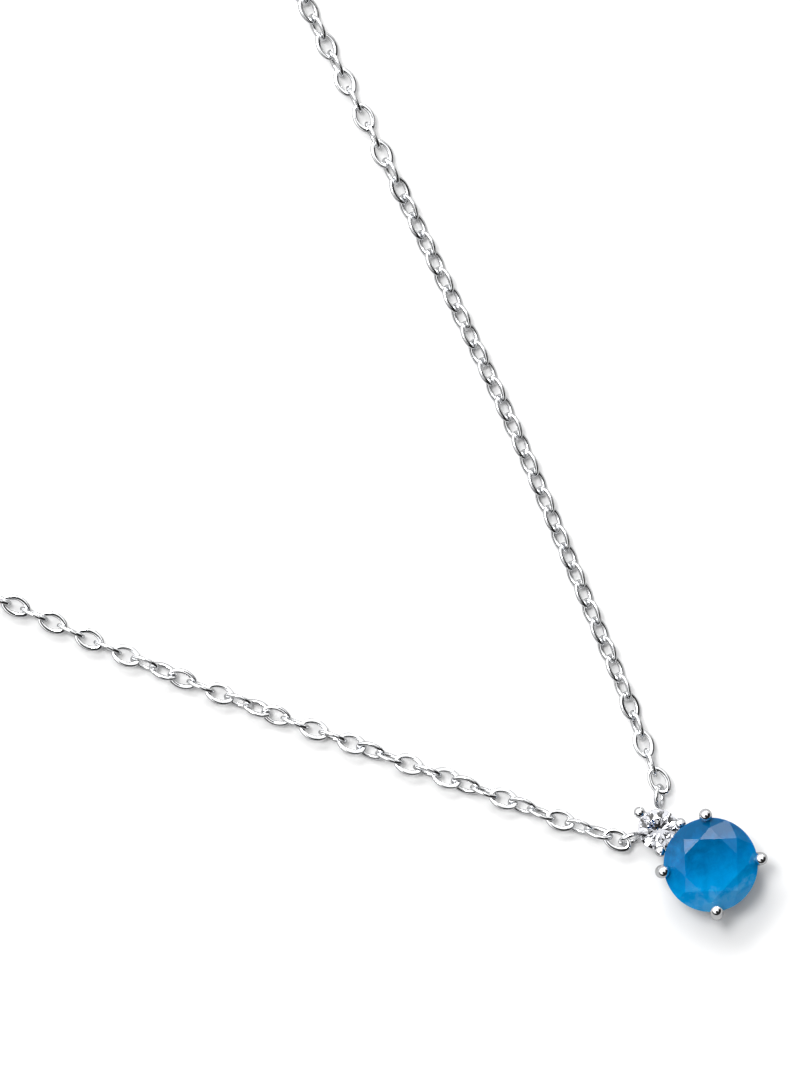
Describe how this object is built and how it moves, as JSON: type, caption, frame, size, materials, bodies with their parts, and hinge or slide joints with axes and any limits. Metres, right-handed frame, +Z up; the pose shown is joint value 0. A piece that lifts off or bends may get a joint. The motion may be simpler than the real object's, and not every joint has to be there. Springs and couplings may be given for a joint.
{
  "type": "pendant necklace",
  "caption": "Fine cable-chain necklace with a round blue stone and a small clear stone in ball-prong settings, a lobster clasp and an extender chain ending in a drop.",
  "frame": {"origin": "centre of the underside of the large setting's base ring, on the surface that the necklace lies on", "axes": "+Z up out of the large stone's table, +Y from the large stone to the small one, +X to the right of that"},
  "size_m": [0.0905, 0.1943, 0.0045],
  "materials": {
    "silver": "polished white metal, rhodium-plated, mirror bright",
    "blue_stone": "cloudy azure-blue faceted gemstone, glassy polish",
    "clear_stone": "colourless brilliant-cut stone, high polish",
    "spring_steel": "hard-rolled spring strip"
  },
  "bodies": {
    "pendant": {"blue_stone": "blue_stone", "clear_stone": "clear_stone", "large_prong_1": "silver", "large_prong_2": "silver", "large_prong_3": "silver", "large_prong_4": "silver", "small_prong_1": "silver", "small_prong_2": "silver", "small_prong_3": "silver", "large_gallery_rail": "silver", "large_base_ring": "silver", "small_gallery_rail": "silver", "small_base_ring": "silver", "solder_bridge": "silver", "left_eyelet": "silver", "right_eyelet": "silver"},
    "left_link_1": {"left_link_1": "silver"},
    "left_link_2": {"left_link_2": "silver"},
    "left_chain_run_1": {"left_chain_run_1": "silver"},
    "left_chain_run_2": {"left_chain_run_2": "silver"},
    "left_chain_run_3": {"left_chain_run_3": "silver"},
    "left_chain_run_4": {"left_chain_run_4": "silver"},
    "left_chain_run_5": {"left_chain_run_5": "silver"},
    "left_chain_run_6": {"left_chain_run_6": "silver"},
    "left_chain_run_7": {"left_chain_run_7": "silver"},
    "left_chain_run_8": {"left_chain_run_8": "silver"},
    "right_link_1": {"right_link_1": "silver"},
    "right_link_2": {"right_link_2": "silver"},
    "right_chain_run_1": {"right_chain_run_1": "silver"},
    "right_chain_run_2": {"right_chain_run_2": "silver"},
    "right_chain_run_3": {"right_chain_run_3": "silver"},
    "right_chain_run_4": {"right_chain_run_4": "silver"},
    "right_chain_run_5": {"right_chain_run_5": "silver"},
    "right_chain_run_6": {"right_chain_run_6": "silver"},
    "right_chain_run_7": {"right_chain_run_7": "silver"},
    "right_chain_run_8": {"right_chain_run_8": "silver"},
    "clasp_jump_ring": {"clasp_jump_ring": "silver"},
    "clasp": {"clasp_body": "silver", "clasp_pin": "silver", "clasp_spring": "spring_steel"},
    "clasp_lever": {"clasp_lever": "silver"},
    "extender_end_ring": {"extender_end_ring": "silver"},
    "extender_run_1": {"extender_run_1": "silver"},
    "extender_run_2": {"extender_run_2": "silver"},
    "drop_ring": {"drop_ring": "silver"},
    "end_drop": {"end_drop": "silver"}
  },
  "joints": [
    {"name": "left_link_1_swing", "type": "hinge", "parent": "pendant", "child": "left_link_1", "pos_m": [-0.00235, 0.00643, 0.00102], "axis": [0, 0, 1], "range_deg": [-6, 35]},
    {"name": "left_link_2_lift", "type": "hinge", "parent": "left_link_1", "child": "left_link_2", "pos_m": [-0.00248, 0.00747, 0.00102], "axis": [-0.9776, -0.2104, 0], "range_deg": [-45, 45]},
    {"name": "left_chain_run_1_swing", "type": "hinge", "parent": "left_link_2", "child": "left_chain_run_1", "pos_m": [-0.00292, 0.0089, 0.0009], "axis": [0, 0, 1], "range_deg": [-5, 35]},
    {"name": "left_chain_run_2_lift", "type": "hinge", "parent": "left_chain_run_1", "child": "left_chain_run_2", "pos_m": [-0.0087, 0.03219, 0.00079], "axis": [0.9732, 0.23, 0], "range_deg": [-35, 35]},
    {"name": "left_chain_run_3_swing", "type": "hinge", "parent": "left_chain_run_2", "child": "left_chain_run_3", "pos_m": [-0.01338, 0.05571, 0.00078], "axis": [0, 0, 1], "range_deg": [-8, 30]},
    {"name": "left_chain_run_4_lift", "type": "hinge", "parent": "left_chain_run_3", "child": "left_chain_run_4", "pos_m": [-0.01967, 0.07887, 0.00064], "axis": [-0.9553, -0.2955, 0], "range_deg": [-35, 35]},
    {"name": "left_chain_run_5_swing", "type": "hinge", "parent": "left_chain_run_4", "child": "left_chain_run_5", "pos_m": [-0.02713, 0.10167, 0.00065], "axis": [0, 0, 1], "range_deg": [-9, 30]},
    {"name": "left_chain_run_6_lift", "type": "hinge", "parent": "left_chain_run_5", "child": "left_chain_run_6", "pos_m": [-0.03114, 0.12514, 0.0007], "axis": [0.9977, -0.068, 0], "range_deg": [-35, 35]},
    {"name": "left_chain_run_7_swing", "type": "hinge", "parent": "left_chain_run_6", "child": "left_chain_run_7", "pos_m": [-0.02511, 0.14824, 0.00075], "axis": [0, 0, 1], "range_deg": [-20, 30]},
    {"name": "left_chain_run_8_swing", "type": "hinge", "parent": "left_chain_run_7", "child": "left_chain_run_8", "pos_m": [-0.01252, 0.16862, 0.00078], "axis": [0, 0, 1], "range_deg": [-28, 35]},
    {"name": "right_link_1_swing", "type": "hinge", "parent": "pendant", "child": "right_link_1", "pos_m": [0.00271, 0.00636, 0.00102], "axis": [0, 0, 1], "range_deg": [-35, 6]},
    {"name": "right_link_2_lift", "type": "hinge", "parent": "right_link_1", "child": "right_link_2", "pos_m": [0.00334, 0.00728, 0.00102], "axis": [-0.8595, 0.5112, 0], "range_deg": [-45, 45]},
    {"name": "right_chain_run_1_swing", "type": "hinge", "parent": "right_link_2", "child": "right_chain_run_1", "pos_m": [0.00421, 0.0085, 0.0009], "axis": [0, 0, 1], "range_deg": [-35, 4]},
    {"name": "right_chain_run_2_lift", "type": "hinge", "parent": "right_chain_run_1", "child": "right_chain_run_2", "pos_m": [0.01757, 0.02843, 0.00061], "axis": [0.8448, -0.535, 0], "range_deg": [-35, 35]},
    {"name": "right_chain_run_3_swing", "type": "hinge", "parent": "right_chain_run_2", "child": "right_chain_run_3", "pos_m": [0.02977, 0.04909, 0.00077], "axis": [0, 0, 1], "range_deg": [-30, 8]},
    {"name": "right_chain_run_4_lift", "type": "hinge", "parent": "right_chain_run_3", "child": "right_chain_run_4", "pos_m": [0.04167, 0.06993, 0.00061], "axis": [-0.8533, 0.5215, 0], "range_deg": [-35, 35]},
    {"name": "right_chain_run_5_swing", "type": "hinge", "parent": "right_chain_run_4", "child": "right_chain_run_5", "pos_m": [0.05377, 0.09063, 0.00061], "axis": [0, 0, 1], "range_deg": [-30, 25]},
    {"name": "right_chain_run_6_lift", "type": "hinge", "parent": "right_chain_run_5", "child": "right_chain_run_6", "pos_m": [0.05765, 0.11396, 0.00061], "axis": [0.9914, 0.1309, 0], "range_deg": [-35, 35]},
    {"name": "right_chain_run_7_swing", "type": "hinge", "parent": "right_chain_run_6", "child": "right_chain_run_7", "pos_m": [0.04974, 0.13647, 0.00069], "axis": [0, 0, 1], "range_deg": [-30, 35]},
    {"name": "right_chain_run_8_swing", "type": "hinge", "parent": "right_chain_run_7", "child": "right_chain_run_8", "pos_m": [0.03529, 0.15557, 0.00077], "axis": [0, 0, 1], "range_deg": [-35, 35]},
    {"name": "clasp_jump_ring_swing", "type": "hinge", "parent": "left_chain_run_8", "child": "clasp_jump_ring", "pos_m": [0.00476, 0.18463, 0.00129], "axis": [0, 0, 1], "range_deg": [-40, 40]},
    {"name": "clasp_lift", "type": "hinge", "parent": "clasp_jump_ring", "child": "clasp", "pos_m": [0.00595, 0.18517, 0.00162], "axis": [0.4067, -0.9135, 0], "range_deg": [-5, 60]},
    {"name": "clasp_lever_press", "type": "hinge", "parent": "clasp", "child": "clasp_lever", "pos_m": [0.01022, 0.1857, 0.00101], "axis": [0, 0, 1], "range_deg": [0, 26], "stiffness_Nm_per_rad": 0.004, "springref_deg": -8.59},
    {"name": "extender_end_ring_swing", "type": "hinge", "parent": "right_chain_run_8", "child": "extender_end_ring", "pos_m": [0.01491, 0.16796, 0.00105], "axis": [0, 0, 1], "range_deg": [-28, 35]},
    {"name": "extender_run_1_swing", "type": "hinge", "parent": "extender_end_ring", "child": "extender_run_1", "pos_m": [0.01372, 0.16829, 0.00105], "axis": [0, 0, -1], "range_deg": [-35, 30]},
    {"name": "extender_run_2_swing", "type": "hinge", "parent": "extender_run_1", "child": "extender_run_2", "pos_m": [-0.00031, 0.15594, 0.00108], "axis": [0, 0, 1], "range_deg": [-40, 40]},
    {"name": "drop_ring_lift", "type": "hinge", "parent": "extender_run_2", "child": "drop_ring", "pos_m": [-0.00473, 0.13849, 0.00108], "axis": [0.9994, -0.0349, 0], "range_deg": [-35, 35]},
    {"name": "end_drop_swing", "type": "hinge", "parent": "drop_ring", "child": "end_drop", "pos_m": [-0.00483, 0.13744, 0.00108], "axis": [-0.7067, 0.0247, 0.7071], "range_deg": [-40, 40]}
  ]
}
